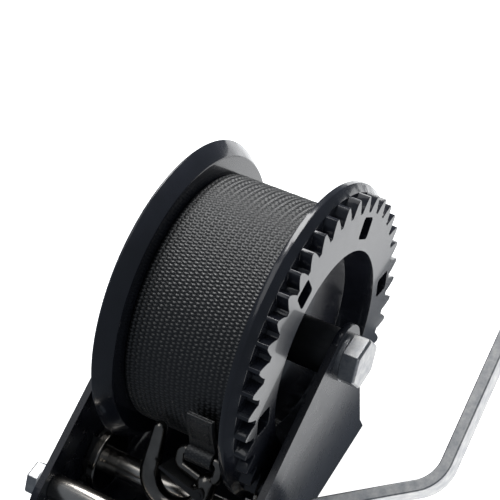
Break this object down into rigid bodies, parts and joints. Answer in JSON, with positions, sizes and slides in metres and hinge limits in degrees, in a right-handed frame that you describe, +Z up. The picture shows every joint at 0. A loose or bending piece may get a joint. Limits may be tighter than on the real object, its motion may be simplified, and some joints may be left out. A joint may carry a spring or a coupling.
{
  "type": "boat trailer winch",
  "caption": "Hand-cranked winch for a boat trailer: a stamped steel frame, a geared strap drum, a dogleg crank and a strap with a snap hook.",
  "frame": {"origin": "underside of the base, at the centre of the four base bolt holes", "axes": "+Z up out of the base, +X towards the crank, +Y towards the end where the drum overhangs"},
  "size_m": [0.2508, 0.2486, 0.1395],
  "materials": {
    "black_paint": "glossy black powder coat on pressed steel",
    "black_steel": "satin black oxide on steel",
    "zinc": "dull zinc plate",
    "steel": "bright turned steel",
    "webbing": "coarse woven polyester",
    "grip": "moulded black plastic",
    "bush": "plain sintered bronze"
  },
  "bodies": {
    "frame": {"frame": "black_paint", "drum_axle_bolt": "zinc", "drum_axle_nut": "zinc", "axle_sleeve": "black_steel", "spacer_right": "black_steel", "spacer_left": "black_steel", "drum_axle_washers": "zinc", "tie_tube": "steel", "tie_bolt": "zinc", "tie_nut": "zinc", "tie_washers": "zinc", "shaft_bushes": "bush", "pawl_pivot_bolt": "zinc", "pawl_pivot_nut": "zinc", "pawl_spring": "steel", "strap_tail": "webbing"},
    "drum": {"drum_gear_flange": "black_paint", "plain_flange": "black_paint", "drum_core": "black_paint", "drum_bushes": "bush", "strap_roll": "webbing"},
    "crank": {"pinion_shaft": "steel", "pinion_gear": "steel", "ratchet_wheel": "black_steel", "shaft_collar": "black_steel", "shaft_clip": "zinc", "hub_spacer": "black_steel", "crank_arm": "zinc", "crank_washer": "zinc", "crank_nut": "zinc", "grip_washer": "zinc", "grip_spindle": "zinc", "grip_nut": "zinc"},
    "grip": {"grip": "grip"},
    "pawl": {"pawl": "black_steel"},
    "hook": {"snap_hook": "black_steel", "latch_pin": "black_steel"},
    "latch": {"hook_latch": "black_steel"}
  },
  "joints": [
    {"name": "drum_spin", "type": "hinge", "parent": "frame", "child": "drum", "pos_m": [0, 0.05, 0.072], "axis": [1, 0, 0], "continuous": true},
    {"name": "crank_spin", "type": "hinge", "parent": "frame", "child": "crank", "pos_m": [0, -0.01018, 0.02413], "axis": [1, 0, 0], "continuous": true},
    {"name": "grip_spin", "type": "hinge", "parent": "crank", "child": "grip", "pos_m": [0, 0.17253, 0.10548], "axis": [1, 0, 0], "continuous": true},
    {"name": "pawl_swing", "type": "hinge", "parent": "frame", "child": "pawl", "pos_m": [0, -0.037, 0.0155], "axis": [1, 0, 0], "range_deg": [-6, 25], "stiffness_Nm_per_rad": 0.05},
    {"name": "hook_swing", "type": "hinge", "parent": "frame", "child": "hook", "pos_m": [0, -0.01, 0.0587], "axis": [1, 0, 0], "range_deg": [-15, 22]},
    {"name": "latch_swing", "type": "hinge", "parent": "hook", "child": "latch", "pos_m": [0.01765, -0.01759, 0.04753], "axis": [0, -0.8271, 0.5621], "range_deg": [0, 20], "stiffness_Nm_per_rad": 0.02}
  ],
  "couplings": [
    {"joint": "crank_spin", "follows": "drum_spin", "ratio": -4.1}
  ]
}
